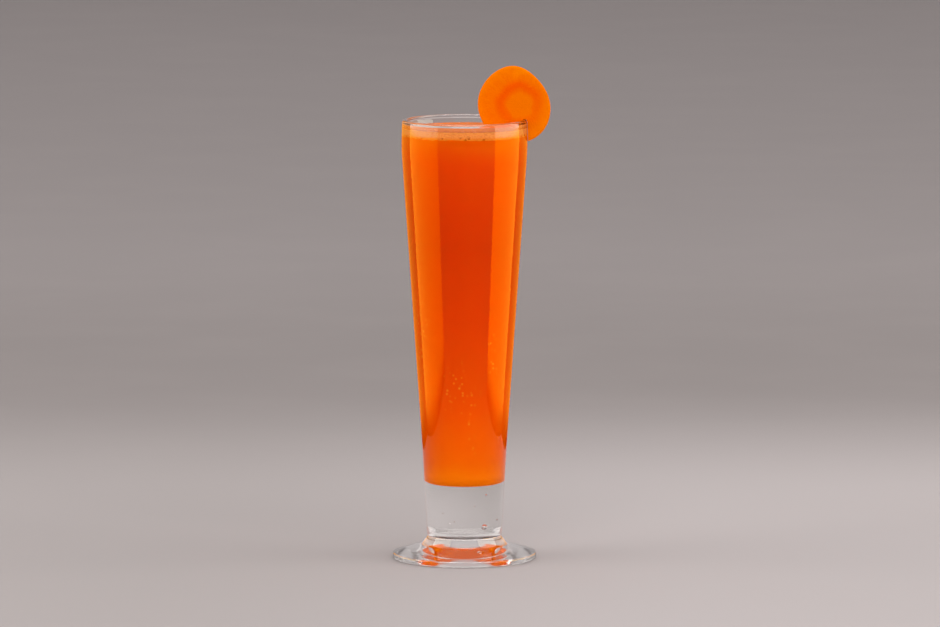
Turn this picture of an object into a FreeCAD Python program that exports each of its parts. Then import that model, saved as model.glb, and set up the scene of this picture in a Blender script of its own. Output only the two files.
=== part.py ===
import FreeCAD
import Part
import math
import os
import Sketcher

# A tall footed glass of carrot juice with a layer of froth, and a round slice
# of carrot slit from below and pushed down over the rim.
# Millimetres, +Z up. The origin is the middle of the flat underside of the foot.

doc = FreeCAD.newDocument("carrot_juice")

# ---------------------------------------------------------------- sizes

sheet = doc.addObject("Spreadsheet::Sheet", "sizes")

SIZES = {
    # the glass, outside
    "glass_height": 232.0,
    "rim_radius": 32.8,
    "rim_curl": 0.45,
    "widest_drop": 15.0,
    "calf_radius": 22.2,
    "calf_height": 58.0,
    "bowl_base_radius": 19.8,
    "bowl_base_height": 15.0,
    "waist_tuck": 0.5,
    "waist_height": 12.2,
    "flare_spread": 3.0,
    "flare_height": 7.6,
    "foot_radius": 37.8,
    "foot_edge_height": 3.0,
    # the glass, inside
    "wall_at_rim": 2.9,
    "wall_at_floor": 3.3,
    "floor_height": 40.0,
    # the glass, rounding
    "rim_round": 1.4,
    "shoulder_round": 120.0,
    "calf_round": 400.0,
    "bowl_base_round": 1.0,
    "waist_round": 0.9,
    "flare_round": 3.0,
    "foot_round": 1.1,
    "floor_round": 8.0,
    # the drink
    "froth_drop": 4.2,
    "froth_depth": 4.3,
    "drink_clearance": 0.05,
    # the slice of carrot
    "carrot_radius": 19.35,
    "carrot_thickness": 4.0,
    "slit_offset": 5.05,
    "carrot_lift": 8.35,
    "slit_clearance": 0.15,
    "soak_clearance": 0.1,
    "bulge_right": -0.9,
    "bulge_upper_right": -2.9,
    "bulge_top": 1.1,
    "bulge_upper_left": -0.4,
    "bulge_left": 0.0,
    "bulge_lower_left": 0.0,
    "bulge_bottom": 1.7,
    "bulge_lower_right": 1.8,
}

for row, (name, value) in enumerate(SIZES.items(), start=1):
    sheet.set("A%d" % row, name)
    sheet.set("B%d" % row, str(value))
    sheet.setAlias("B%d" % row, name)
doc.recompute()


def size(expression):
    """The value that an expression of the sheet's sizes has now."""
    return float(sheet.evalExpression(expression))


def named(expression):
    """The same expression, written so that another object can use it."""
    words = sorted(SIZES, key=len, reverse=True)
    marks = {}
    for number, word in enumerate(words):
        mark = "@%d@" % number
        expression = expression.replace(word, mark)
        marks[mark] = "sizes." + word
    for mark, word in marks.items():
        expression = expression.replace(mark, word)
    return expression


# ---------------------------------------------------------------- helpers

def new_body(label):
    """An empty body with its own name."""
    body = doc.addObject("PartDesign::Body", label)
    body.Label = label
    return body


def sketch_on(body, role, label):
    """A sketch lying on one of the body's own planes."""
    sketch = body.newObject("Sketcher::SketchObject", label)
    plane = [item for item in body.Origin.OriginFeatures if item.Role == role][0]
    sketch.AttachmentSupport = [(plane, "")]
    sketch.MapMode = "FlatFace"
    return sketch


def bind_point(sketch, geometry, end, across, up):
    """Hold one end of a line at (across, up), both expressions of the sizes."""
    for kind, axis, expression in (("DistanceX", "x", across), ("DistanceY", "y", up)):
        if expression == "0":
            line = -2 if axis == "x" else -1
            sketch.addConstraint(Sketcher.Constraint("PointOnObject", geometry, end, line))
            continue
        index = sketch.addConstraint(
            Sketcher.Constraint(kind, -1, 1, geometry, end, size(expression)))
        sketch.renameConstraint(index, "g%d%s" % (geometry, axis))
        sketch.setExpression("Constraints.g%d%s" % (geometry, axis), named(expression))


def corner_arc(before, corner, after, radius):
    """The arc that rounds a corner, and where it meets the lines on each side."""
    back = (before - corner).normalize()
    ahead = (after - corner).normalize()
    half = back.getAngle(ahead) / 2.0
    setback = radius / math.tan(half)
    leaves = corner + back * setback
    joins = corner + ahead * setback
    middle = corner + (back + ahead).normalize() * (radius / math.sin(half))
    circle = Part.Circle(middle, FreeCAD.Vector(0, 0, 1), radius)
    turns_left = (corner - before).cross(after - corner).z > 0
    first, last = (leaves, joins) if turns_left else (joins, leaves)
    start = math.atan2(first.y - middle.y, first.x - middle.x)
    stop = math.atan2(last.y - middle.y, last.x - middle.x)
    return Part.ArcOfCircle(circle, start, stop), leaves, joins, turns_left


def closed_outline(sketch, corners):
    """
    A closed outline through the corners. A corner is (across, up), or
    (across, up, round) where an arc of that named radius rounds it.
    """
    count = len(corners)
    places = [FreeCAD.Vector(size(item[0]), size(item[1]), 0) for item in corners]
    arcs = []
    for index, item in enumerate(corners):
        if len(item) == 3:
            arcs.append(corner_arc(places[index - 1], places[index],
                                   places[(index + 1) % count], size(item[2])))
        else:
            arcs.append((None, places[index], places[index], True))
    for index in range(count):
        run = Part.LineSegment(arcs[index][2], arcs[(index + 1) % count][1])
        sketch.addGeometry(run, False)
    for index, item in enumerate(corners):
        arc, _, _, turns_left = arcs[index]
        line_in = (index - 1) % count
        if arc is None:
            sketch.addConstraint(Sketcher.Constraint("Coincident", line_in, 2, index, 1))
            bind_point(sketch, index, 1, item[0], item[1])
            continue
        start, stop = (1, 2) if turns_left else (2, 1)
        curve = sketch.addGeometry(arc, False)
        mark = sketch.addGeometry(Part.Point(places[index]), True)
        sketch.addConstraint(Sketcher.Constraint("Tangent", line_in, 2, curve, start))
        sketch.addConstraint(Sketcher.Constraint("Tangent", index, 1, curve, stop))
        sketch.addConstraint(Sketcher.Constraint("PointOnObject", mark, 1, line_in))
        sketch.addConstraint(Sketcher.Constraint("PointOnObject", mark, 1, index))
        bind_point(sketch, mark, 1, item[0], item[1])
        number = sketch.addConstraint(
            Sketcher.Constraint("Radius", curve, size(item[2])))
        sketch.renameConstraint(number, "g%dround" % curve)
        sketch.setExpression("Constraints.g%dround" % curve, named(item[2]))


def turned(body, sketch, label):
    """The outline turned all the way round the upright axis."""
    turning = body.newObject("PartDesign::Revolution", label)
    turning.Profile = sketch
    turning.ReferenceAxis = (sketch, ["V_Axis"])
    turning.Angle = 360.0
    sketch.Visibility = False
    doc.recompute()
    return turning


# ---------------------------------------------------------------- the glass

widest = "(rim_radius + rim_curl)"
waist = "(bowl_base_radius - waist_tuck)"
flare = "(bowl_base_radius + flare_spread)"
rim_inside = "rim_radius - wall_at_rim"
floor_inside = "bowl_base_radius + (calf_radius - bowl_base_radius) * (floor_height - " \
    "bowl_base_height) / (calf_height - bowl_base_height) - wall_at_floor"

glass = new_body("glass")
glass_profile = sketch_on(glass, "XZ_Plane", "glass_profile")
closed_outline(glass_profile, [
    ("0", "0"),
    ("foot_radius", "0", "foot_round"),
    ("foot_radius", "foot_edge_height", "foot_round"),
    (flare, "flare_height", "flare_round"),
    (waist, "waist_height", "waist_round"),
    ("bowl_base_radius", "bowl_base_height", "bowl_base_round"),
    ("calf_radius", "calf_height", "calf_round"),
    (widest, "glass_height - widest_drop", "shoulder_round"),
    ("rim_radius", "glass_height", "rim_round"),
    (rim_inside, "glass_height", "rim_round"),
    (floor_inside, "floor_height", "floor_round"),
    ("0", "floor_height"),
])
turned(glass, glass_profile, "glass_turned")

# ---------------------------------------------------------------- the drink

# The inside wall is straight from the floor's corner to the rim.
slope = "((%s) - (%s)) / (glass_height - floor_height)" % (rim_inside, floor_inside)


def wall_at(height):
    """The inside radius at a height, less the drink's clearance."""
    return "(%s) + %s * ((%s) - floor_height) - drink_clearance" % (
        floor_inside, slope, height)


froth_top = "glass_height - froth_drop"
froth_bottom = "glass_height - froth_drop - froth_depth"
juice_bottom = "floor_height + drink_clearance"

juice_body = new_body("juice_uncut")
juice_profile = sketch_on(juice_body, "XZ_Plane", "juice_profile")
closed_outline(juice_profile, [
    ("0", juice_bottom),
    (wall_at(juice_bottom), juice_bottom, "floor_round"),
    (wall_at(froth_bottom), froth_bottom),
    ("0", froth_bottom),
])
turned(juice_body, juice_profile, "juice_turned")

froth_body = new_body("froth_uncut")
froth_profile = sketch_on(froth_body, "XZ_Plane", "froth_profile")
closed_outline(froth_profile, [
    ("0", froth_bottom),
    (wall_at(froth_bottom), froth_bottom),
    (wall_at(froth_top), froth_top),
    ("0", froth_top),
])
turned(froth_body, froth_profile, "froth_turned")

# ---------------------------------------------------------------- the slice of carrot

LOBES = (
    "bulge_right",
    "bulge_upper_right",
    "bulge_top",
    "bulge_upper_left",
    "bulge_left",
    "bulge_lower_left",
    "bulge_bottom",
    "bulge_lower_right",
)
# How far out a corner of the curve's frame stands for a curve of radius one.
CORNER_REACH = 6.0 / (4.0 + 2.0 * math.cos(math.radians(360.0 / len(LOBES))))

# The slice stands out from the glass so that its slit sits over the rim's middle.
carrot_middle = "rim_radius - wall_at_rim / 2 - slit_offset"
carrot_height = "glass_height + carrot_lift"


def carrot_outline(sketch, extra):
    """The slice's uneven round outline, drawn `extra` outside its own size."""
    places = []
    for index, lobe in enumerate(LOBES):
        turn = "cos(%.3f)" % (index * 360.0 / len(LOBES))
        rise = "sin(%.3f)" % (index * 360.0 / len(LOBES))
        reach = "(%.5f * (carrot_radius + %s) + %s)" % (CORNER_REACH, extra, lobe)
        places.append(("%s + %s * %s" % (carrot_middle, reach, turn),
                       "%s + %s * %s" % (carrot_height, reach, rise)))
    corners = [FreeCAD.Vector(size(across), size(up), 0) for across, up in places]
    count = len(corners)
    curve = Part.BSplineCurve()
    curve.buildFromPolesMultsKnots(
        corners, [1] * (count + 1), [float(step) for step in range(count + 1)], True, 3)
    sketch.addGeometry(curve, False)
    for index, corner in enumerate(corners):
        mark = sketch.addGeometry(Part.Circle(corner, FreeCAD.Vector(0, 0, 1), 1.0), True)
        if index == 0:
            sketch.addConstraint(Sketcher.Constraint("Weight", mark, 1.0))
        else:
            sketch.addConstraint(Sketcher.Constraint("Equal", 1, mark))
        sketch.addConstraint(Sketcher.Constraint(
            "InternalAlignment:Sketcher::BSplineControlPoint", mark, 3, 0, index))
    for index, (across, up) in enumerate(places):
        bind_point(sketch, index + 1, 3, across, up)


def carrot_disc(label, extra):
    """A slice in the upright plane that runs out through the rim."""
    body = new_body(label)
    outline = sketch_on(body, "XZ_Plane", label + "_outline")
    carrot_outline(outline, extra)
    doc.recompute()
    pad = body.newObject("PartDesign::Pad", label + "_pad")
    pad.Profile = outline
    pad.Midplane = True
    pad.setExpression("Length", named("carrot_thickness + 2 * (%s)" % extra))
    outline.Visibility = False
    doc.recompute()
    return body


carrot = carrot_disc("carrot_slice", "0")

# The slit is as wide as the wall it straddles, leans with it, and ends in a
# round seat over the rim.
slit_low = "glass_height - 2 * carrot_radius"
slit_inner_top = "rim_radius - wall_at_rim - slit_clearance"
slit_outer_top = "rim_radius + slit_clearance"
slit_inner_low = "%s + %s * ((%s) - glass_height)" % (slit_inner_top, slope, slit_low)
slit_outer_low = widest + " + slit_clearance"
slit_end = "glass_height + slit_clearance"

slit_profile = sketch_on(carrot, "XZ_Plane", "slit_profile")
closed_outline(slit_profile, [
    (slit_inner_low, slit_low),
    (slit_outer_low, slit_low),
    (slit_outer_low, "glass_height - widest_drop"),
    (slit_outer_top, slit_end),
    (slit_inner_top, slit_end),
])
doc.recompute()
before_slit = carrot.Shape.Volume
slit = carrot.newObject("PartDesign::Pocket", "slit")
slit.Profile = slit_profile
slit.Midplane = True
slit.Type = "ThroughAll"
slit_profile.Visibility = False
doc.recompute()
if carrot.Shape.Volume > before_slit - 1.0:
    raise ValueError("the slit takes nothing from the slice")

# ---------------------------------------------------------------- the drink round the slice

soak = carrot_disc("soak_room", "soak_clearance")


def cut_round_slice(label, body):
    """The poured layer with room for the slice that dips into it."""
    cut = doc.addObject("Part::Cut", label)
    cut.Label = label
    cut.Base = body
    cut.Tool = soak
    doc.recompute()
    return cut


juice = cut_round_slice("juice", juice_body)
froth = cut_round_slice("froth", froth_body)

# ---------------------------------------------------------------- checks and files

doc.recompute()
for item in doc.Objects:
    if "Invalid" in item.State or "Error" in item.State:
        raise ValueError("%s: %s" % (item.Label, item.State))

os.makedirs("parts", exist_ok=True)
for node in (glass, juice, froth, carrot):
    shape = node.Shape
    if shape.isNull() or not shape.isValid():
        raise ValueError(node.Label + " has no valid shape")
    if len(shape.Solids) != 1:
        raise ValueError("%s is %d solids" % (node.Label, len(shape.Solids)))
    shape.exportStep("parts/%s.step" % node.Label)
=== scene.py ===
import logging
import math
import random
from dataclasses import dataclass, field
from enum import Enum
from typing import Any, Callable, Mapping, Sequence

import bmesh
import bpy
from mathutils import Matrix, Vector, noise


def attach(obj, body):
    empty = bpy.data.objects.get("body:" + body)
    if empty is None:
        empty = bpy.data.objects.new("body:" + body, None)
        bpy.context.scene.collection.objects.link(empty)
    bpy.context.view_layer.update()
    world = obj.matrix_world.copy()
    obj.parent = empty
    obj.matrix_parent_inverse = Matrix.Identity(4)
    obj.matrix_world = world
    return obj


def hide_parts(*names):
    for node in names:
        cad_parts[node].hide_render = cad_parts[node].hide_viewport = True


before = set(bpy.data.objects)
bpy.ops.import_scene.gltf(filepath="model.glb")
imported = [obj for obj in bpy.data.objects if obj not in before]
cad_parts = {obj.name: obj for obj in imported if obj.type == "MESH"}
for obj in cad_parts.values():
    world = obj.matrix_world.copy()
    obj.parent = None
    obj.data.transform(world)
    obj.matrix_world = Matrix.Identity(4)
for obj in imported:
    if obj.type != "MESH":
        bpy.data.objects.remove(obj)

log = logging.getLogger("carrot_juice")

MM = 0.001
ON_AXIS = 0.0001 * MM
Colour = tuple[float, float, float]
BLACK: Colour = (0.0, 0.0, 0.0)


# -------- shader maths

class Wire:
    """One node output that takes part in sums, products and comparisons."""

    def __init__(self, recipe: "Recipe", socket: bpy.types.NodeSocket) -> None:
        """Keep the socket and the recipe it belongs to."""
        self.recipe = recipe
        self.socket = socket

    def _math(self, operation: str, first: Any, second: Any = 0.0) -> "Wire":
        """One Math node's result, from wires or numbers."""
        return self.recipe.node("ShaderNodeMath", {"operation": operation}, {0: first, 1: second})

    def __add__(self, other: Any) -> "Wire":
        """This plus other."""
        return self._math("ADD", self, other)

    def __radd__(self, other: Any) -> "Wire":
        """Other plus this."""
        return self._math("ADD", other, self)

    def __sub__(self, other: Any) -> "Wire":
        """This less other."""
        return self._math("SUBTRACT", self, other)

    def __rsub__(self, other: Any) -> "Wire":
        """Other less this."""
        return self._math("SUBTRACT", other, self)

    def __mul__(self, other: Any) -> "Wire":
        """This times other."""
        return self._math("MULTIPLY", self, other)

    def __rmul__(self, other: Any) -> "Wire":
        """Other times this."""
        return self._math("MULTIPLY", other, self)

    def __truediv__(self, other: Any) -> "Wire":
        """This over other."""
        return self._math("DIVIDE", self, other)

    def __pow__(self, other: Any) -> "Wire":
        """This to the power of other."""
        return self._math("POWER", self, other)

    def cosine(self) -> "Wire":
        """The cosine, of radians."""
        return self._math("COSINE", self)

    def sine(self) -> "Wire":
        """The sine, of radians."""
        return self._math("SINE", self)

    def at_most(self, other: Any) -> "Wire":
        """The smaller of this and other."""
        return self._math("MINIMUM", self, other)

    def at_least(self, other: Any) -> "Wire":
        """The larger of this and other."""
        return self._math("MAXIMUM", self, other)

    def rise(self, start: float, stop: float) -> "Wire":
        """A soft step, 0 before start and 1 after stop, which may be the lesser of the two."""
        return self.recipe.node(
            "ShaderNodeMapRange", {"interpolation_type": "SMOOTHSTEP", "clamp": True},
            {"Value": self, "From Min": start, "From Max": stop, "To Min": 0.0, "To Max": 1.0})

    def peak(self, centre: float, width: float) -> "Wire":
        """A soft hump, 1 at the centre and 0 a width away on each side."""
        return self.rise(centre - width, centre) * self.rise(centre + width, centre)


class Recipe:
    """A material under construction."""

    def __init__(self, name: str) -> None:
        """
        Start an empty material with its output node.

        Args:
            name: the material's name.
        """
        self.material = bpy.data.materials.new(name)
        self.material.use_nodes = True
        self.tree = self.material.node_tree
        self.tree.nodes.clear()
        self.exit = self.tree.nodes.new("ShaderNodeOutputMaterial")

    def raw(self, kind: str, settings: Mapping[str, Any],
            inputs: Mapping[Any, Any]) -> bpy.types.Node:
        """
        Add any node.

        Args:
            kind: the node's type.
            settings: its own settings, and stops for a ramp.
            inputs: values, wires or sockets by input name or number.

        Returns:
            The node.
        """
        made = self.tree.nodes.new(kind)
        for name, value in settings.items():
            if name == "stops":
                ramp = made.color_ramp
                while len(ramp.elements) < len(value):
                    ramp.elements.new(1.0)
                for element, (place, tint) in zip(ramp.elements, value):
                    element.position = place
                    element.color = (*tint, 1.0)
            else:
                setattr(made, name, value)
        for name, value in inputs.items():
            socket = made.inputs[name]
            if isinstance(value, Wire):
                self.tree.links.new(value.socket, socket)
            elif isinstance(value, tuple) and socket.type == "RGBA":
                socket.default_value = (*value, 1.0) if len(value) == 3 else value
            else:
                socket.default_value = value
        return made

    def node(self, kind: str, settings: Mapping[str, Any], inputs: Mapping[Any, Any],
             output: Any = 0) -> Wire:
        """Add any node, as raw does, and take the output of that name or number."""
        return Wire(self, self.raw(kind, settings, inputs).outputs[output])

    def place(self) -> Wire:
        """The point's own position on the object."""
        return self.node("ShaderNodeTexCoord", {}, {}, "Object")

    def stretched(self, vector: Wire, scale: tuple[float, float, float]) -> Wire:
        """The vector with each of its parts scaled."""
        return self.node("ShaderNodeVectorMath", {"operation": "MULTIPLY"}, {0: vector, 1: scale})

    def parts(self, vector: Wire) -> tuple[Wire, Wire, Wire]:
        """The vector's three parts."""
        split = self.raw("ShaderNodeSeparateXYZ", {}, {0: vector})
        return tuple(Wire(self, split.outputs[index]) for index in range(3))

    def joined(self, across: Any, deep: Any, up: Any) -> Wire:
        """A vector from three values."""
        return self.node("ShaderNodeCombineXYZ", {}, {0: across, 1: deep, 2: up})

    def grain(self, vector: Wire, scale: float, detail: float = 3.0,
              roughness: float = 0.5) -> Wire:
        """Soft noise, around a half."""
        inputs = {"Vector": vector, "Scale": scale, "Detail": detail, "Roughness": roughness}
        return self.node("ShaderNodeTexNoise", {"noise_dimensions": "3D"}, inputs)

    def cells(self, vector: Wire, scale: float) -> Wire:
        """The distance to the nearest middle in a field of cells."""
        return self.node("ShaderNodeTexVoronoi", {"feature": "F1", "voronoi_dimensions": "3D"},
                         {"Vector": vector, "Scale": scale, "Randomness": 1.0}, "Distance")

    def blend(self, first: Any, second: Any, factor: Any) -> Wire:
        """Two colours mixed by a factor."""
        return self.node("ShaderNodeMix", {"data_type": "RGBA", "blend_type": "MIX"},
                         {0: factor, 6: first, 7: second}, 2)

    def bump(self, height: Wire, strength: float, distance: float) -> Wire:
        """A normal from a height."""
        inputs = {"Height": height, "Strength": strength, "Distance": distance}
        return self.node("ShaderNodeBump", {}, inputs, "Normal")

    def finish(self, inputs: Mapping[str, Any]) -> bpy.types.Material:
        """
        Add the main shader and join it to the output.

        Args:
            inputs: the shader's inputs.

        Returns:
            The finished material.
        """
        shader = self.node("ShaderNodeBsdfPrincipled", {}, inputs, "BSDF")
        self.tree.links.new(shader.socket, self.exit.inputs["Surface"])
        return self.material


# -------- finishes

@dataclass(frozen=True)
class ClearGlass:
    """Clear, colourless pressed glass."""

    name: str = "clear_glass"
    tint: Colour = (0.985, 0.99, 0.985)
    sheen: Colour = (1.0, 1.0, 1.0)
    relief: float = 0.02
    relief_depth: float = 0.4 * MM
    wave_grain: float = 90.0
    ripple_pitch: float = 1.3 * MM
    ripple_share: float = 1.2
    crinkle_grain: float = 320.0
    crinkle_share: float = 6.0
    crinkle_from_squared: float = 300.0 * MM ** 2
    crinkle_full_squared: float = 800.0 * MM ** 2

    def material(self) -> bpy.types.Material:
        """
        Mix the glass: faint waves, fine ripples on the left of the base, uneven foot ends.

        Returns:
            The material.
        """
        recipe = Recipe(self.name)
        place = recipe.place()
        across, deep, up = recipe.parts(place)
        waves = recipe.grain(recipe.stretched(place, (1.0, 1.0, 0.35)), self.wave_grain, 1.0)
        left = across.rise(-11 * MM, -16 * MM) * deep.rise(4 * MM, -2 * MM) * up.peak(33 * MM, 8 * MM)
        drift = recipe.grain(place, 160.0, 2.0) * 5.0
        ripples = (up * (2.0 * math.pi / self.ripple_pitch) + drift).sine() * left
        ends = (across * across).rise(self.crinkle_from_squared, self.crinkle_full_squared)
        crinkles = recipe.grain(place, self.crinkle_grain, 2.0) * up.rise(9 * MM, 6 * MM) * ends
        relief = waves + ripples * self.ripple_share + crinkles * self.crinkle_share
        return recipe.finish({
            "Base Color": self.tint,
            "Roughness": 0.0,
            "IOR": 1.5,
            "Transmission Weight": 1.0,
            "Specular Tint": (*self.sheen, 1.0),
            "Normal": recipe.bump(relief, self.relief, self.relief_depth),
        })


@dataclass(frozen=True)
class CarrotJuice:
    """Opaque fresh carrot juice, with painted light and shade: darkest in its middle and painted bright at
    both ends, where light from above and through the base reaches it.
    """

    # Colours by height that paint the juice's light and shade: brighter at the bottom and the top, darker
    # in the middle.
    painted_light_tones: tuple[tuple[float, Colour], ...] = (
        (44 * MM, (1.0, 0.21, 0.0)),
        (52 * MM, (1.0, 0.150, 0.0)),
        (83 * MM, (1.0, 0.086, 0.0)),
        (126 * MM, (0.94, 0.046, 0.0)),
        (168 * MM, (0.84, 0.030, 0.0)),
        (185 * MM, (0.88, 0.034, 0.0)),
        (200 * MM, (0.92, 0.044, 0.0)),
        (211 * MM, (0.96, 0.050, 0.0)),
        (216 * MM, (0.99, 0.074, 0.0)),
        (222 * MM, (1.0, 0.120, 0.0)),
    )
    tallest: float = 232 * MM
    cloud_grain: float = 60.0
    cloud_lift: float = 14 * MM
    fleck: Colour = (1.0, 0.30, 0.02)
    fleck_cells: float = 400.0
    fleck_share: float = 0.8
    fleck_height: float = 95 * MM
    fleck_reach: float = 90 * MM
    # A painted glow: emission, strongest low down, that stands in for the light the clear base sends up
    # into the juice.
    glow: Colour = (1.0, 0.11, 0.0)
    glow_strength: float = 0.32
    glow_top: float = 110 * MM
    deep_glow_top: float = 52 * MM
    glow_full: float = 41 * MM
    deep_share: float = 0.55

    def material(self) -> bpy.types.Material:
        """
        Mix the juice, with its painted light and shade by height and a painted glow for the light that the
        clear base sends up into it.

        Returns:
            The material.
        """
        recipe = Recipe("carrot_juice")
        place = recipe.place()
        _, _, up = recipe.parts(place)
        cloud = recipe.grain(recipe.stretched(place, (1.0, 1.0, 0.4)), self.cloud_grain, 4.0, 0.6)
        level = (up + (cloud - 0.5) * self.cloud_lift) / self.tallest
        stops = [(height / self.tallest, tone) for height, tone in self.painted_light_tones]
        body = recipe.node("ShaderNodeValToRGB", {"stops": stops}, {"Fac": level}, "Color")
        specks = recipe.cells(place, self.fleck_cells).rise(0.34, 0.14)
        sparse = recipe.grain(recipe.stretched(place, (1.0, 1.0, 0.3)), 70.0).rise(0.48, 0.66)
        flecks = specks * sparse * up.peak(self.fleck_height, self.fleck_reach) * self.fleck_share
        lit = (up.rise(self.glow_top, self.glow_full) * (1.0 - self.deep_share)
               + up.rise(self.deep_glow_top, self.glow_full) * self.deep_share)
        return recipe.finish({
            "Base Color": recipe.blend(body, self.fleck, flecks),
            "Roughness": 0.5,
            "IOR": 1.35,
            "Specular IOR Level": 0.0,
            "Emission Color": recipe.blend(BLACK, self.glow, lit),
            "Emission Strength": self.glow_strength,
        })


@dataclass(frozen=True)
class JuiceFroth:
    """Pale orange froth of fine bubbles."""

    # The top's pale tone is painted darker than the side's as painted shade against the light from above;
    # the side's tone is painted lit.
    pale: Colour = (0.53, 0.148, 0.032)
    lit_side: Colour = (0.98, 0.34, 0.06)
    rich: Colour = (0.98, 0.24, 0.01)
    hole: Colour = (0.42, 0.065, 0.0)
    # A painted glow on the froth's side, deeper near its bottom: emission that stands in for light through
    # the froth.
    glow: Colour = (1.0, 0.40, 0.12)
    deep_glow: Colour = (1.0, 0.22, 0.0)
    glow_strength: float = 0.17
    top: float = 227.8 * MM
    bottom: float = 223.5 * MM
    small_cells: float = 1500.0
    large_cells: float = 500.0

    def material(self) -> bpy.types.Material:
        """
        Mix the froth: fine bubbles on top, larger ones and deeper colours below, with painted shade on the
        top, a painted lit side and a painted glow on the side.

        Returns:
            The material.
        """
        recipe = Recipe("juice_froth")
        place = recipe.place()
        _, _, up = recipe.parts(place)
        low = up.rise(self.top - 0.01 * MM, self.top - 0.08 * MM)
        edge = up.rise(self.bottom + 2.2 * MM, self.bottom + 0.3 * MM)
        wide = recipe.grain(place, 110.0, 3.0)
        small = recipe.cells(place, self.small_cells)
        large = recipe.cells(place, self.large_cells)
        pores = small.rise(0.42, 0.62) * 0.35
        chosen = recipe.grain(place, 330.0, 1.0).rise(0.38, 0.48)
        spots = large.rise(0.38, 0.22) * chosen.at_least(edge * 0.75)
        side = (low + (wide - 0.5) * 0.3).at_least(0.0).at_most(1.0)
        # Painted light and shade: the top takes the darker pale tone, the side the brighter lit tone.
        shade = recipe.blend(self.pale, self.lit_side, side)
        shade = recipe.blend(shade, self.rich, edge * 0.7)
        shade = recipe.blend(shade, self.hole, (pores + spots * (edge * 0.9 + 0.2)).at_most(0.9))
        relief = small.rise(0.7, 0.1) * 0.6 + large.rise(0.6, 0.0)
        return recipe.finish({
            "Base Color": shade,
            "Roughness": 0.6,
            "IOR": 1.35,
            "Specular IOR Level": 0.0,
            "Emission Color": recipe.blend(BLACK, recipe.blend(self.glow, self.deep_glow, edge), low),
            "Emission Strength": self.glow_strength,
            "Normal": recipe.bump(relief, 0.5, 0.3 * MM),
        })


@dataclass(frozen=True)
class FrothBubble:
    """The thin wet skin of the larger bubbles that stand on the froth."""

    skin: Colour = (0.66, 0.19, 0.04)
    deep: Colour = (0.60, 0.12, 0.015)

    def material(self) -> bpy.types.Material:
        """
        Mix the shiny froth colour, with a little unevenness.

        Returns:
            The material.
        """
        recipe = Recipe("froth_bubble")
        tone = recipe.grain(recipe.place(), 500.0, 1.0)
        shade = recipe.blend(self.skin, self.deep, tone.rise(0.35, 0.7))
        return recipe.finish({
            "Base Color": shade,
            "Roughness": 0.12,
            "IOR": 1.35,
            "Coat Weight": 0.35,
            "Coat Roughness": 0.04,
        })


@dataclass(frozen=True)
class CutCarrot:
    """The face of a freshly cut carrot: core, dark ring, streaked flesh and skin."""

    core: Colour = (0.62, 0.122, 0.0)
    ring: Colour = (0.61, 0.066, 0.0)
    flesh: Colour = (0.62, 0.110, 0.0)
    pale: Colour = (0.66, 0.160, 0.0)
    skin: Colour = (0.66, 0.150, 0.0)
    core_across: float = 2.7 * MM
    core_up: float = -1.0 * MM
    core_radius: float = 6.5 * MM
    core_blur: float = 0.5 * MM
    ring_middle: float = 8.8 * MM
    ring_width: float = 4.2 * MM
    ring_shift: float = 1.6 * MM
    ring_heavy_at: float = 2.0
    flesh_from: float = 11.4 * MM
    patch_at: float = 0.7
    radius: float = 19.0 * MM

    def material(self, across: float, up_at: float) -> bpy.types.Material:
        """
        The cut face round a centre.

        Args:
            across: the slice's middle along X.
            up_at: the slice's middle along Z.

        Returns:
            The material.
        """
        recipe = Recipe("cut_carrot")
        place = recipe.place()
        x, _, z = recipe.parts(place)
        dx = x - (across + self.core_across)
        dz = z - (up_at + self.core_up)
        angle = recipe.node("ShaderNodeMath", {"operation": "ARCTAN2"}, {0: dz, 1: dx})
        reach = (dx * dx + dz * dz) ** 0.5
        out = ((x - across) * (x - across) + (z - up_at) * (z - up_at)) ** 0.5

        cloud = recipe.grain(place, 260.0, 3.0)
        lobes = (angle * 5.0 + 0.6).cosine() * 0.35 + (angle * 9.0 + 2.0).cosine() * 0.2
        wobble = lobes * MM + (cloud - 0.5) * (1.6 * MM)
        radial = recipe.joined(angle.cosine(), angle.sine(), reach * 18.0)
        streaks = recipe.grain(radial, 9.0, 4.0, 0.65)
        close = recipe.joined(angle.cosine(), angle.sine(), reach * 40.0)
        fine = recipe.grain(close, 26.0, 3.0, 0.6)

        inner = (reach + wobble).rise(self.core_radius + self.core_blur, self.core_radius - self.core_blur)
        lean = (angle - self.ring_heavy_at).cosine() * 0.5 + 0.5
        dark = (reach + wobble - lean * self.ring_shift).peak(self.ring_middle, self.ring_width)
        dark = dark * (lean * 0.8 + 0.4)
        outer = reach.rise(self.flesh_from, self.radius * 0.94)
        toward = (angle - self.patch_at).cosine().rise(-0.1, 0.9)
        patches = recipe.grain(place, 170.0, 2.0).rise(0.50, 0.64) * toward
        rays = (angle * 14.0 + (cloud - 0.5) * 9.0).cosine().rise(0.55, 1.0) * inner
        edge = (out + wobble).rise(self.radius - 4.5 * MM, self.radius - 0.5 * MM)

        body = recipe.blend(self.flesh, self.pale, (streaks.rise(0.42, 0.7) * outer * 0.4).at_most(1.0))
        body = recipe.blend(body, self.pale, patches * outer.at_least(0.3) * 0.8)
        ringed = (dark * (0.9 + (fine - 0.5) * 1.6)).at_least(0.0).at_most(1.0)
        body = recipe.blend(body, self.ring, ringed)
        body = recipe.blend(body, self.core, inner * 0.9)
        body = recipe.blend(body, self.pale, rays * 0.10)
        body = recipe.blend(body, self.ring, fine.rise(0.55, 0.75) * 0.3)
        body = recipe.blend(body, self.skin, edge * 0.55)
        relief = streaks * 0.5 + fine * 0.5 + dark * 0.35 + recipe.grain(place, 1400.0, 2.0) * 0.25
        return recipe.finish({
            "Base Color": body,
            "Roughness": 0.42 - fine * 0.12,
            "IOR": 1.4,
            "Specular IOR Level": 0.0,
            "Normal": recipe.bump(relief, 0.5, 0.6 * MM),
        })


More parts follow.
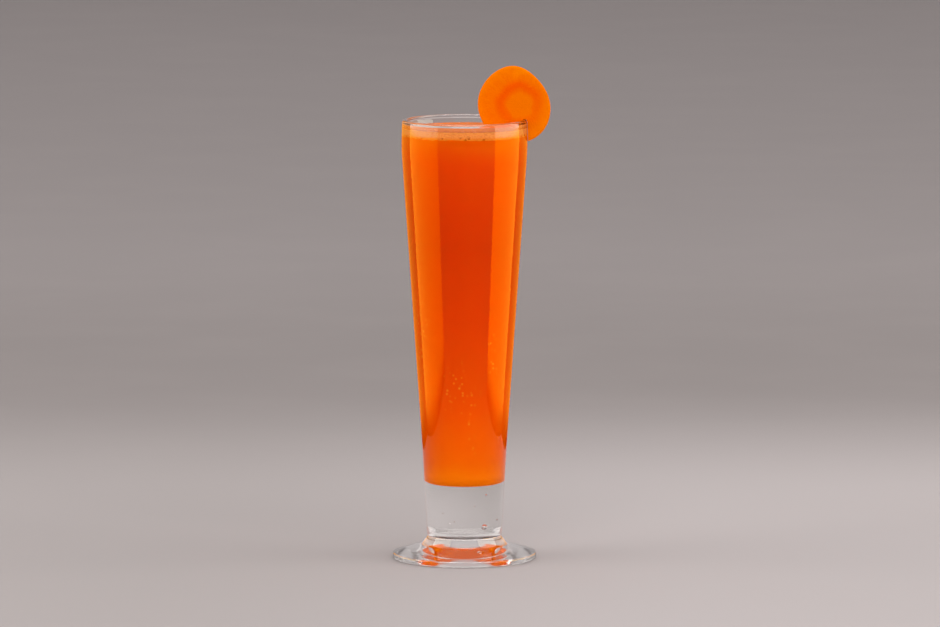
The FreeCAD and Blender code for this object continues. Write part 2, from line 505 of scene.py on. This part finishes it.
@dataclass(frozen=True)
class PaleTable:
    """A plain pale surface, painted darker on its left as painted shade and darker far behind as painted
    falloff of light.
    """

    # Painted light: the shaded tone is painted shade on the left, and the middle and far tones paint the
    # light's falloff behind the glass.
    near: Colour = (0.243, 0.229, 0.229)
    shaded: Colour = (0.209, 0.197, 0.195)
    middle: Colour = (0.154, 0.143, 0.141)
    far: Colour = (0.178, 0.166, 0.165)
    cloudy: Colour = (0.229, 0.210, 0.206)
    cloud_share: float = 0.10

    def material(self) -> bpy.types.Material:
        """
        Mix the surface, whose tone is painted darker across it and into the distance, as painted shade and
        falloff of light.

        Returns:
            The material.
        """
        recipe = Recipe("pale_table")
        place = recipe.place()
        across, deep, _ = recipe.parts(place)
        cloud = recipe.grain(place, 9.0, 3.0)
        tone = recipe.blend(self.near, self.shaded, across.rise(0.12, -0.18))
        tone = recipe.blend(tone, self.middle, deep.rise(0.22, 0.70))
        tone = recipe.blend(tone, self.far, deep.rise(0.8, 1.5))
        tone = recipe.blend(tone, self.cloudy, cloud.rise(0.3, 0.9) * self.cloud_share)
        return recipe.finish({"Base Color": tone, "Roughness": 0.85, "Specular IOR Level": 0.0})


# -------- mesh helpers

@dataclass(frozen=True)
class Corner:
    """A corner of a turned outline, in metres, with the radius that rounds it."""

    radius: float
    height: float
    rounding: float = 0.0


def rounded_outline(corners: Sequence[Corner], step: float, arc_step: float) -> list[Vector]:
    """
    Walk an open outline and round its corners.

    Args:
        corners: the corners in order.
        step: the longest straight piece.
        arc_step: the largest turn of one piece of an arc, in radians.

    Returns:
        Points as (radius, height).
    """
    places = [Vector((item.radius, item.height)) for item in corners]
    walked: list[Vector] = []
    for index, item in enumerate(corners):
        here = places[index]
        if item.rounding <= 0.0 or index in (0, len(corners) - 1):
            walked.append(here)
            continue
        back = (places[index - 1] - here).normalized()
        ahead = (places[index + 1] - here).normalized()
        half = back.angle(ahead) / 2.0
        setback = item.rounding / math.tan(half)
        middle = here + (back + ahead).normalized() * (item.rounding / math.sin(half))
        first = here + back * setback - middle
        turn = math.pi - 2.0 * half
        sign = 1.0 if back.x * ahead.y - back.y * ahead.x < 0 else -1.0
        count = max(2, math.ceil(turn / arc_step), math.ceil(item.rounding * turn / step))
        for part in range(count + 1):
            bend = sign * turn * part / count
            walked.append(middle + Vector((
                first.x * math.cos(bend) - first.y * math.sin(bend),
                first.x * math.sin(bend) + first.y * math.cos(bend))))
    spread: list[Vector] = [walked[0]]
    for point in walked[1:]:
        run = point - spread[-1]
        count = max(1, math.ceil(run.length / step))
        start = spread[-1].copy()
        for part in range(1, count + 1):
            spread.append(start + run * (part / count))
    return spread


def new_object(name: str, work: bmesh.types.BMesh,
               materials: Sequence[bpy.types.Material]) -> bpy.types.Object:
    """
    Turn a mesh in progress into an object with smooth shading.

    Args:
        name: the object's name.
        work: the mesh; it is freed.
        materials: its material slots.

    Returns:
        The object.
    """
    mesh = bpy.data.meshes.new(name)
    work.to_mesh(mesh)
    work.free()
    for face in mesh.polygons:
        face.use_smooth = True
    for material in materials:
        mesh.materials.append(material)
    made = bpy.data.objects.new(name, mesh)
    bpy.context.scene.collection.objects.link(made)
    return made


def join_rings(work: bmesh.types.BMesh, rings: Sequence[Sequence[bmesh.types.BMVert]],
               inward: bool = False) -> None:
    """
    Skin the gaps between neighbouring rings, each of as many points or of a single one.

    Args:
        work: the mesh that receives the skin.
        rings: the rings in order.
        inward: whether the skin faces inward, as a void's does.
    """
    segments = max(len(ring) for ring in rings)
    for lower, upper in zip(rings, rings[1:]):
        for part in range(segments):
            after = (part + 1) % segments
            if len(lower) == 1:
                corners = (lower[0], upper[after], upper[part])
            elif len(upper) == 1:
                corners = (lower[part], lower[after], upper[0])
            else:
                corners = (lower[part], lower[after], upper[after], upper[part])
            work.faces.new(corners[::-1] if inward else corners)


def turn_outline(work: bmesh.types.BMesh, outline: Sequence[Vector], segments: int,
                 wobble: Callable[[float, Vector], Vector] | None = None) -> None:
    """
    Turn an outline round the upright axis into a closed skin.

    Args:
        work: the mesh that receives the skin.
        outline: points as (radius, height), on the axis at both ends.
        segments: how many steps round.
        wobble: moves a point (angle, position) a little, where given.
    """
    rings: list[list[bmesh.types.BMVert]] = []
    for point in outline:
        if point.x < ON_AXIS:
            rings.append([work.verts.new((0.0, 0.0, point.y))])
            continue
        ring = []
        for part in range(segments):
            angle = 2.0 * math.pi * part / segments
            place = Vector((point.x * math.cos(angle), point.x * math.sin(angle), point.y))
            ring.append(work.verts.new(wobble(angle, place) if wobble else place))
        rings.append(ring)
    join_rings(work, rings)


def add_ball(work: bmesh.types.BMesh, middle: Vector, radius: float, squash: float,
             around: int = 12, levels: int = 7, inward: bool = False) -> None:
    """
    Add one small closed ball.

    Args:
        work: the mesh that receives it.
        middle: its middle.
        radius: its radius.
        squash: its height over its width.
        around: steps round it.
        levels: steps from its bottom to its top.
        inward: whether its skin faces inward, as a void's does.
    """
    rings: list[list[bmesh.types.BMVert]] = []
    for level in range(levels + 1):
        rise = -math.pi / 2 + math.pi * level / levels
        up = middle.z + math.sin(rise) * radius * squash
        wide = math.cos(rise) * radius
        if level in (0, levels):
            rings.append([work.verts.new((middle.x, middle.y, up))])
            continue
        turns = [2 * math.pi * part / around for part in range(around)]
        rings.append([work.verts.new((middle.x + wide * math.cos(turn),
                                      middle.y + wide * math.sin(turn), up)) for turn in turns])
    join_rings(work, rings, inward)


def carve(target: bpy.types.Object, tool: bpy.types.Object) -> None:
    """
    Cut the tool out of the target and throw the tool away.

    Args:
        target: the object that is cut.
        tool: the cutter.
    """
    cut = target.modifiers.new("carve", "BOOLEAN")
    cut.operation = "DIFFERENCE"
    cut.solver = "EXACT"
    cut.object = tool
    bpy.context.view_layer.update()
    graph = bpy.context.evaluated_depsgraph_get()
    mesh = bpy.data.meshes.new_from_object(target.evaluated_get(graph))
    target.modifiers.clear()
    old = target.data
    target.data = mesh
    bpy.data.meshes.remove(old)
    bpy.data.objects.remove(tool)


# -------- the glass

@dataclass
class FootedGlass:
    """
    A tall tapered glass on a solid base and a round foot.

    Its wall's outside has a material of its own that paints its reflections in the drink's orange,
    a painted reflection. Each air bubble is given as across, deep, up and radius, in millimetres.
    """

    height: float = 232.0 * MM
    rim_radius: float = 32.8 * MM
    rim_curl: float = 0.45 * MM
    widest_drop: float = 15.0 * MM
    calf_radius: float = 22.2 * MM
    calf_height: float = 58.0 * MM
    base_radius: float = 19.8 * MM
    base_height: float = 15.0 * MM
    waist_tuck: float = 0.5 * MM
    waist_height: float = 12.2 * MM
    flare_spread: float = 3.0 * MM
    flare_height: float = 7.6 * MM
    foot_radius: float = 37.8 * MM
    foot_edge: float = 3.0 * MM
    hollow_radius: float = 28.5 * MM
    hollow_depth: float = 4.0 * MM
    hollow_crown: float = 12.0 * MM
    hollow_round: float = 1.5 * MM
    foot_round: float = 1.1 * MM
    flare_round: float = 3.0 * MM
    waist_round: float = 0.9 * MM
    base_round: float = 1.0 * MM
    calf_round: float = 400.0 * MM
    widest_round: float = 120.0 * MM
    lip_outer_round: float = 1.4 * MM
    lip_inner_round: float = 0.75 * MM
    wall_at_rim: float = 2.9 * MM
    wall_at_floor: float = 3.3 * MM
    floor_height: float = 40.0 * MM
    floor_round: float = 8.0 * MM
    bead_height: float = 1.0 * MM
    bead_slope: float = 0.9 * MM
    bead_depth: float = 0.55 * MM
    bead_upper_round: float = 0.45 * MM
    bead_lower_round: float = 0.6 * MM
    inside_bend: float = 6.0 * MM
    inside_round: float = 20.0 * MM
    segments: int = 192
    wall_from: float = 39.0 * MM
    wall_to: float = 224.0 * MM
    air_bubbles: tuple[tuple[float, float, float, float], ...] = (
        (8.6, -8.0, 18.0, 1.4), (8.6, -4.0, 34.6, 0.5), (-9.0, -6.0, 25.0, 0.3),
        (3.0, 6.0, 28.0, 0.35), (-4.5, -10.0, 21.0, 0.28), (11.0, 3.0, 20.5, 0.4))
    finish: ClearGlass = field(default_factory=ClearGlass)
    # Painted reflection: the orange specular tint paints the wall's reflections in the drink's colour.
    tinted_reflection_wall: ClearGlass = field(default_factory=lambda: ClearGlass(
        name="clear_glass_wall", sheen=(2.0, 0.9, 0.06)))

    def floor_inside(self) -> float:
        """The inside radius where the wall meets the floor, unrounded."""
        rise = (self.floor_height - self.base_height) / (self.calf_height - self.base_height)
        return self.base_radius + (self.calf_radius - self.base_radius) * rise - self.wall_at_floor

    def inside_at(self, height: float) -> float:
        """The inside radius at a height above the rounded floor."""
        low, high = self.floor_inside(), self.rim_radius - self.wall_at_rim
        return low + (high - low) * (height - self.floor_height) / (self.height - self.floor_height)

    def outline(self) -> list[Corner]:
        """
        The whole outline.

        Returns:
            Its corners, from the middle of the underside to the middle of the inner floor.
        """
        rim_inside = self.rim_radius - self.wall_at_rim
        bead = self.height - self.bead_height
        bend = self.height - self.inside_bend
        return [
            Corner(0.0, self.hollow_depth),
            Corner(self.hollow_radius * 0.3, self.hollow_depth * 0.94, self.hollow_crown),
            Corner(self.hollow_radius, 0.0, self.hollow_round),
            Corner(self.foot_radius, 0.0, self.foot_round),
            Corner(self.foot_radius, self.foot_edge, self.foot_round),
            Corner(self.base_radius + self.flare_spread, self.flare_height, self.flare_round),
            Corner(self.base_radius - self.waist_tuck, self.waist_height, self.waist_round),
            Corner(self.base_radius, self.base_height, self.base_round),
            Corner(self.calf_radius, self.calf_height, self.calf_round),
            Corner(self.rim_radius + self.rim_curl, self.height - self.widest_drop, self.widest_round),
            Corner(self.rim_radius, self.height, self.lip_outer_round),
            Corner(rim_inside, self.height, self.lip_inner_round),
            Corner(rim_inside, bead, self.bead_upper_round),
            Corner(rim_inside + self.bead_depth, bead - self.bead_slope, self.bead_lower_round),
            Corner(self.inside_at(bend), bend, self.inside_round),
            Corner(self.floor_inside(), self.floor_height, self.floor_round),
            Corner(0.0, self.floor_height),
        ]

    def build(self) -> bpy.types.Object:
        """
        Build and dress the glass, with the air bubbles that are caught in its base.

        Returns:
            The glass.
        """
        work = bmesh.new()
        turn_outline(work, rounded_outline(self.outline(), step=2.2 * MM, arc_step=0.12), self.segments)
        for x, y, z, radius in self.air_bubbles:
            add_ball(work, Vector((x, y, z)) * MM, radius * MM, squash=1.0, around=24, levels=14,
                     inward=True)
        made = new_object("footed_glass", work,
                          [self.finish.material(), self.tinted_reflection_wall.material()])
        for face in made.data.polygons:
            outside = face.normal.x * face.center.x + face.normal.y * face.center.y > 0
            if outside and self.wall_from < face.center.z < self.wall_to:
                face.material_index = 1
        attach(made, "root")
        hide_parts("glass")
        return made


# -------- the slice of carrot

@dataclass
class CarrotSlice:
    """A round slice of carrot, slit from below and set over the rim."""

    rim_radius: float = 32.8 * MM
    wall: float = 2.9 * MM
    rim_height: float = 232.0 * MM
    radius: float = 19.35 * MM
    thickness: float = 4.0 * MM
    slit_offset: float = 5.05 * MM
    lift: float = 8.35 * MM
    slit_clearance: float = 0.15 * MM
    widest_radius: float = 33.25 * MM
    widest_drop: float = 15.0 * MM
    wall_lean: float = 0.0626
    slit_round: float = 1.2 * MM
    slit_bend: tuple[float, float] = (0.5 * MM, 0.3 * MM)
    bulges: tuple[float, ...] = (-0.9, -2.9, 1.1, -0.4, 0.0, 0.0, 1.7, 1.8)
    edge_round: float = 0.35 * MM
    dent_depth: float = 0.03 * MM
    dent_relief: float = 0.05 * MM
    dent_pitch: float = 900.0
    segments: int = 240
    rings: int = 36
    edge_levels: int = 5
    finish: CutCarrot = field(default_factory=CutCarrot)

    @property
    def across(self) -> float:
        """The slice's middle along X."""
        return self.rim_radius - self.wall / 2 - self.slit_offset

    @property
    def up(self) -> float:
        """The slice's middle along Z."""
        return self.rim_height + self.lift

    def edge(self, turn: float) -> Vector:
        """
        A point of the outline, from a closed smooth curve held by its bulges.

        Args:
            turn: how far round, 0 to 1.

        Returns:
            The point as (across, up) from the slice's middle.
        """
        count = len(self.bulges)
        reach = 6.0 / (4.0 + 2.0 * math.cos(2.0 * math.pi / count))
        anchors = [
            Vector((math.cos(2 * math.pi * place / count), math.sin(2 * math.pi * place / count)))
            * (reach * self.radius + bulge * MM) for place, bulge in enumerate(self.bulges)]
        along = (turn % 1.0) * count
        index = int(along)
        t = along - index
        weights = ((1 - t) ** 3, 3 * t ** 3 - 6 * t ** 2 + 4,
                   -3 * t ** 3 + 3 * t ** 2 + 3 * t + 1, t ** 3)
        total = Vector((0.0, 0.0))
        for offset, weight in enumerate(weights):
            total += anchors[(index + offset - 1) % count] * (weight / 6.0)
        return total

    def build_sheet(self, work: bmesh.types.BMesh, rim: Sequence[Vector],
                    side: float) -> list[list[bmesh.types.BMVert]]:
        """
        The points of one cut face, with faint knife relief and a rounded edge.

        Args:
            work: the mesh that receives them.
            rim: the slice's outline.
            side: -1 for the face that looks along -Y, 1 for the other.

        Returns:
            The middle point in a row of its own, then the rings from the middle outward.
        """
        half = self.thickness / 2
        middle = (self.across, side * (half - 2 * self.dent_depth), self.up)
        rows = [[work.verts.new(middle)]]
        for ring in range(1, self.rings + 1):
            row = []
            for point in rim:
                flat = point * (ring / self.rings)
                inset = max(0.0, flat.length - (point.length - self.edge_round))
                sink = self.edge_round - math.sqrt(max(0.0, self.edge_round ** 2 - inset ** 2))
                spot = Vector((flat.x * self.dent_pitch, flat.y * self.dent_pitch, side * 7.0))
                dent = self.dent_relief * (0.5 + 0.5 * noise.noise(spot)) + self.dent_depth
                row.append(work.verts.new((
                    self.across + flat.x, side * (half - dent - sink), self.up + flat.y)))
            rows.append(row)
        return rows

    def build_disc(self) -> bmesh.types.BMesh:
        """
        Join both cut faces round the slice's edge, before it is slit.

        Returns:
            The mesh in progress.
        """
        work = bmesh.new()
        rim = [self.edge(part / self.segments) for part in range(self.segments)]
        front, back = (self.build_sheet(work, rim, side) for side in (-1.0, 1.0))
        wall = [[work.verts.new(first.co.lerp(last.co, level / self.edge_levels))
                 for first, last in zip(front[-1], back[-1])]
                for level in range(1, self.edge_levels)]
        join_rings(work, [*front, *wall, *reversed(back)])
        bmesh.ops.recalc_face_normals(work, faces=work.faces[:])
        return work

    def slit_tool(self) -> bpy.types.Object:
        """
        The shape of the slit: as wide as the wall, round-topped over the rim.

        Returns:
            The cutter.
        """
        clear = self.slit_clearance
        outer = self.rim_radius + clear
        inner = self.rim_radius - self.wall - clear
        widest = self.widest_radius + clear
        low = self.rim_height - 2 * self.radius
        top = self.rim_height + clear
        lean = self.wall_lean * (self.rim_height - low)
        turn = self.slit_round
        aside, down = self.slit_bend
        places = [(inner - lean, low), (widest, low), (widest, self.rim_height - self.widest_drop),
                  (outer, top - turn), (outer - aside, top - down), (outer - turn, top),
                  (inner + turn, top), (inner + aside, top - down), (inner, top - turn)]
        work = bmesh.new()
        front, back = ([work.verts.new((x, side * self.thickness, z)) for x, z in places]
                       for side in (-1.0, 1.0))
        work.faces.new(front)
        work.faces.new(back[::-1])
        join_rings(work, (front, back))
        bmesh.ops.recalc_face_normals(work, faces=work.faces[:])
        return new_object("slit_tool", work, [])

    def build(self) -> bpy.types.Object:
        """
        Build and dress the slice.

        Returns:
            The slice.
        """
        made = new_object("carrot_slice_cut", self.build_disc(),
                          [self.finish.material(self.across, self.up)])
        carve(made, self.slit_tool())
        made.data.set_sharp_from_angle(angle=math.radians(40))
        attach(made, "root")
        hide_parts("carrot_slice")
        return made


# -------- the drink

@dataclass
class PouredDrink:
    """The juice up to its level, and the froth that lies on it."""

    glass: FootedGlass
    carrot: CarrotSlice
    froth_drop: float = 4.2 * MM
    froth_depth: float = 4.3 * MM
    froth_hollow: float = 0.4 * MM
    froth_skirt: float = 2.0 * MM
    into_wall: float = 0.3 * MM
    into_froth: float = 0.8 * MM
    wave_slow: float = 0.35 * MM
    wave_fine: float = 0.5 * MM
    bubbles: int = 620
    bubble_tries: int = 2600
    bubble_least: float = 0.22 * MM
    bubble_spread: float = 0.75 * MM
    bubble_overlap: float = 0.8
    bubble_squash: float = 0.8
    bubble_sink: float = 0.35
    wall_share: float = 0.55
    wall_band: float = 3.0 * MM
    sharp_from: float = math.radians(50.0)
    seed: int = 7

    @property
    def froth_top(self) -> float:
        """The height of the froth's top."""
        return self.glass.height - self.froth_drop

    @property
    def froth_bottom(self) -> float:
        """The height where the froth meets the juice."""
        return self.froth_top - self.froth_depth

    def build_juice(self) -> bpy.types.Object:
        """
        Build and dress the juice, which reaches a little into the wall and the froth.

        Returns:
            The juice.
        """
        glass = self.glass
        reach = self.into_wall * 0.8
        top = self.froth_bottom + self.into_froth
        low = glass.floor_height - reach
        corners = [
            Corner(0.0, low),
            Corner(glass.inside_at(low) + reach, low, glass.floor_round),
            Corner(glass.inside_at(top) + reach, top),
            Corner(0.0, top),
        ]
        work = bmesh.new()
        turn_outline(work, rounded_outline(corners, step=3.0 * MM, arc_step=0.15), segments=160)
        made = new_object("carrot_juice", work, [CarrotJuice().material()])
        made.data.set_sharp_from_angle(angle=self.sharp_from)
        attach(made, "root")
        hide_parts("juice")
        return made

    def froth_wave(self, angle: float, place: Vector) -> Vector:
        """
        Lift and lower the froth's underside a little, and its top not at all.

        Args:
            angle: how far round the point is.
            place: the point.

        Returns:
            The moved point.
        """
        share = (self.froth_top - place.z) / self.froth_depth
        low = max(0.0, min(1.0, (share - 0.5) * 2.0))
        slow, fine = (noise.noise(Vector((math.cos(angle) * pitch, math.sin(angle) * pitch, level)))
                      for pitch, level in ((3.1, 2.0), (14.0, 5.0)))
        lift = slow * self.wave_slow + fine * self.wave_fine
        return place + Vector((0.0, 0.0, lift * low))

    def build_froth(self) -> bpy.types.Object:
        """
        Build and dress the froth.

        Returns:
            The froth.
        """
        reach = self.into_wall
        top, low = self.froth_top, self.froth_bottom
        outer_top = self.glass.inside_at(top) + reach
        outer_low = self.glass.inside_at(low) + reach
        corners = [
            Corner(0.0, low + self.froth_hollow),
            Corner(outer_low - self.froth_skirt, low + self.froth_hollow),
            Corner(outer_low, low),
            Corner(outer_top, top),
            Corner(0.0, top),
        ]
        work = bmesh.new()
        turn_outline(work, rounded_outline(corners, step=0.7 * MM, arc_step=0.2), segments=288,
                     wobble=self.froth_wave)
        made = new_object("juice_froth", work, [JuiceFroth().material()])
        made.data.set_sharp_from_angle(angle=self.sharp_from)
        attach(made, "root")
        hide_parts("froth")
        return made

    def build_bubbles(self) -> bpy.types.Object:
        """
        Scatter larger bubbles over the froth, most of them along the wall.

        Returns:
            The bubbles.
        """
        chance = random.Random(self.seed)
        top = self.froth_top
        wall = self.glass.inside_at(top)
        work = bmesh.new()
        placed: list[tuple[float, float, float]] = []
        for _ in range(self.bubble_tries):
            if len(placed) >= self.bubbles:
                break
            size = self.bubble_least + self.bubble_spread * chance.random() ** 3
            angle = chance.uniform(0.0, 2.0 * math.pi)
            if chance.random() < self.wall_share:
                reach = wall - size - chance.random() ** 2 * self.wall_band
            else:
                reach = wall * math.sqrt(chance.random()) - size
            x, y = reach * math.cos(angle), reach * math.sin(angle)
            half = self.carrot.thickness / 2 + size
            if x > self.carrot.across - self.carrot.radius - size and abs(y) < half:
                continue
            if any((x - a) ** 2 + (y - b) ** 2 < (self.bubble_overlap * (size + c)) ** 2
                   for a, b, c in placed):
                continue
            placed.append((x, y, size))
            add_ball(work, Vector((x, y, top - size * self.bubble_sink)), size, self.bubble_squash)
        made = new_object("froth_bubbles", work, [FrothBubble().material()])
        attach(made, "root")
        return made


# -------- the studio

class Side(Enum):
    """Which side of the glass a light or a card stands on."""

    LEFT = -1.0
    RIGHT = 1.0


@dataclass(frozen=True)
class GlowCard:
    """
    A flat card with a soft glow of its own, which only glossy surfaces see.

    Its glow runs from first to last along it, and above cap_from it has the cap's tint.
    """

    name: str
    corner: Vector
    along: Vector
    upward: Vector
    tint: Colour
    first: float
    last: float
    fade: float = 0.05
    cap: Colour | None = None
    cap_from: float = 0.375
    cap_blur: float = 0.02

    def material(self) -> bpy.types.Material:
        """
        Mix the glow, from first to last along the card and fading out at its lower end.

        Returns:
            The material.
        """
        recipe = Recipe(self.name + "_glow")
        across, up, _ = recipe.parts(recipe.node("ShaderNodeTexCoord", {}, {}, "UV"))
        most = max(self.first, self.last)
        share = self.first / most + across * ((self.last - self.first) / most)
        capped = up.rise(self.cap_from, self.cap_from + self.cap_blur)
        tint = recipe.blend(self.tint, self.cap or self.tint, capped)
        return recipe.finish({
            "Base Color": BLACK,
            "Roughness": 1.0,
            "Specular IOR Level": 0.0,
            "Emission Color": recipe.blend(BLACK, tint, share * up.rise(0.0, self.fade)),
            "Emission Strength": most,
        })

    def build(self) -> bpy.types.Object:
        """
        Build the card, hidden from all but glossy rays.

        Returns:
            The card.
        """
        work = bmesh.new()
        flat = work.loops.layers.uv.new("flat")
        places = ((0.0, 0.0), (1.0, 0.0), (1.0, 1.0), (0.0, 1.0))
        face = work.faces.new([work.verts.new(self.corner + self.along * across + self.upward * up)
                               for across, up in places])
        for loop, place in zip(face.loops, places):
            loop[flat].uv = place
        made = new_object(self.name, work, [self.material()])
        made.visible_camera = False
        made.visible_diffuse = False
        made.visible_transmission = False
        made.visible_shadow = False
        return made


@dataclass(frozen=True)
class SoftLight:
    """A soft rectangular light that the camera doesn't see."""

    name: str
    place: Vector
    aim: Vector
    size: tuple[float, float]
    power: float
    tint: Colour
    glossy: bool = True
    transmission: bool = True

    def build(self) -> bpy.types.Object:
        """
        Hang the light.

        Returns:
            The light.
        """
        data = bpy.data.lights.new(self.name, "AREA")
        data.shape = "RECTANGLE"
        data.size, data.size_y = self.size
        data.energy = self.power
        data.color = self.tint
        made = bpy.data.objects.new(self.name, data)
        made.location = self.place
        made.rotation_euler = (self.aim - self.place).to_track_quat("-Z", "Y").to_euler()
        made.visible_camera = False
        made.visible_glossy = self.glossy
        made.visible_transmission = self.transmission
        bpy.context.scene.collection.objects.link(made)
        return made


@dataclass
class Studio:
    """The table, the lights, the glowing cards, the surroundings and the camera."""

    table_drop: float = 0.05 * MM
    camera_distance: float = 3.443
    camera_height: float = 0.5454
    camera_tilt: float = 6.886
    lens: float = 252.65
    aim_across: float = 0.0029
    lamp_tint: Colour = (1.0, 0.97, 0.96)
    side_tint: Colour = (1.0, 0.95, 0.92)
    front_tint: Colour = (1.0, 0.96, 0.93)
    sky_tint: Colour = (0.50, 0.455, 0.45)
    card_tint: Colour = (0.93, 0.485, 0.04)
    card_cap: Colour = (1.0, 0.86, 0.68)
    back_tint: Colour = (1.0, 0.38, 0.03)
    top_tint: Colour = (1.0, 0.96, 0.94)
    card_away: float = 0.30
    card_height: float = 0.55
    card_end: float = 0.135
    back_run: tuple[float, float] = (-0.17, 0.225)
    back_glow: float = 1.5
    top_glow: float = 6.0
    wide_away: float = 5.5
    bounces: int = 28
    glossy_bounces: int = 16

    def build_table(self) -> bpy.types.Object:
        """
        Lay the table, a hair below the foot.

        Returns:
            The table.
        """
        work = bmesh.new()
        bmesh.ops.create_grid(work, x_segments=60, y_segments=60, size=9.0)
        made = new_object("table", work, [PaleTable().material()])
        made.location.z = -self.table_drop
        return made

    def build_cards(self) -> None:
        """Stand the glowing cards round the glass and hang one over it."""
        upward = Vector((0.0, 0.0, self.card_height))
        for side, front, first, last in ((Side.LEFT, -0.266, 2.6, 4.6), (Side.RIGHT, -0.205, 4.2, 4.8)):
            away = side.value * self.card_away
            name = side.name.lower()
            GlowCard("side_card_" + name, Vector((away, front, 0.0)),
                     Vector((0.0, self.card_end - front, 0.0)), upward,
                     self.card_tint, first, last, cap=self.card_cap).build()
            inward, backward = self.back_run
            GlowCard("back_card_" + name, Vector((away, self.card_end, 0.0)),
                     Vector((side.value * inward, backward, 0.0)), upward,
                     self.back_tint, self.back_glow, self.back_glow).build()
        GlowCard("top_card", Vector((-0.3, -0.35, 0.95)), Vector((0.6, 0.0, 0.0)),
                 Vector((0.0, 0.5, 0.0)), self.top_tint, self.top_glow, self.top_glow).build()

    def build_lights(self, table: bpy.types.Object) -> None:
        """
        Hang the lights.

        Args:
            table: what the two wide lights light and nothing else.
        """
        SoftLight("overhead", Vector((0.0, -0.1, 1.6)), Vector((0.0, 0.0, 0.0)), (1.6, 1.6),
                  9.0, self.lamp_tint, transmission=False).build()
        for side, power in ((Side.LEFT, 33.0), (Side.RIGHT, 23.5)):
            SoftLight("side_fill_" + side.name.lower(), Vector((2.0 * side.value, -0.3, 0.9)),
                      Vector((0.0, 0.0, 0.12)), (1.6, 1.2), power, self.side_tint,
                      transmission=False).build()
        SoftLight("front_fill", Vector((0.6, -2.4, 1.6)), Vector((0.0, 0.0, 0.1)), (4.0, 2.6),
                  92.0, self.front_tint, glossy=False).build()
        SoftLight("far_wash", Vector((0.0, 3.2, 3.0)), Vector((0.0, 3.2, 0.0)), (6.0, 4.5),
                  75.0, self.lamp_tint, glossy=False, transmission=False).build()
        floor_only = bpy.data.collections.new("floor_only")
        floor_only.objects.link(table)
        for side in Side:
            away = self.wide_away * side.value
            wide = SoftLight("wide_wash_" + side.name.lower(), Vector((away, 0.0, 3.0)),
                             Vector((away, 0.0, 0.0)), (6.0, 6.0), 170.0, self.lamp_tint,
                             glossy=False, transmission=False).build()
            wide.light_linking.receiver_collection = floor_only

    def set_surroundings(self) -> None:
        """Set the even light all round, and how often light may bounce."""
        world = bpy.data.worlds.new("surroundings")
        world.use_nodes = True
        sky = world.node_tree.nodes["Background"]
        sky.inputs["Color"].default_value = (*self.sky_tint, 1.0)
        sky.inputs["Strength"].default_value = 1.0
        scene = bpy.context.scene
        scene.world = world
        scene.view_settings.view_transform = "Standard"
        scene.cycles.max_bounces = self.bounces
        scene.cycles.glossy_bounces = self.glossy_bounces
        scene.cycles.transmission_bounces = self.bounces

    def build_camera(self) -> None:
        """Stand the camera in front, tilted down at the glass."""
        data = bpy.data.cameras.new("camera")
        data.lens = self.lens
        data.sensor_width = 36.0
        data.clip_end = 60.0
        made = bpy.data.objects.new("camera", data)
        place = Vector((0.0, -self.camera_distance, self.camera_height))
        drop = math.tan(math.radians(self.camera_tilt)) * self.camera_distance
        aim = Vector((self.aim_across, 0.0, self.camera_height - drop))
        made.location = place
        made.rotation_euler = (aim - place).to_track_quat("-Z", "Y").to_euler()
        bpy.context.scene.collection.objects.link(made)
        bpy.context.scene.camera = made


def main() -> None:
    """Build every piece in order and report it."""
    logging.basicConfig(level=logging.INFO, format="%(message)s")
    glass = FootedGlass()
    carrot = CarrotSlice()
    drink = PouredDrink(glass, carrot)
    for build in (glass.build, carrot.build, drink.build_juice, drink.build_froth,
                  drink.build_bubbles):
        made = build()
        log.info("%s: %d faces", made.name, len(made.data.polygons))
    studio = Studio()
    studio.build_lights(studio.build_table())
    studio.set_surroundings()
    studio.build_cards()
    studio.build_camera()
    log.info("studio ready")


if __name__ == "__main__":
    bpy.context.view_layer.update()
    main()
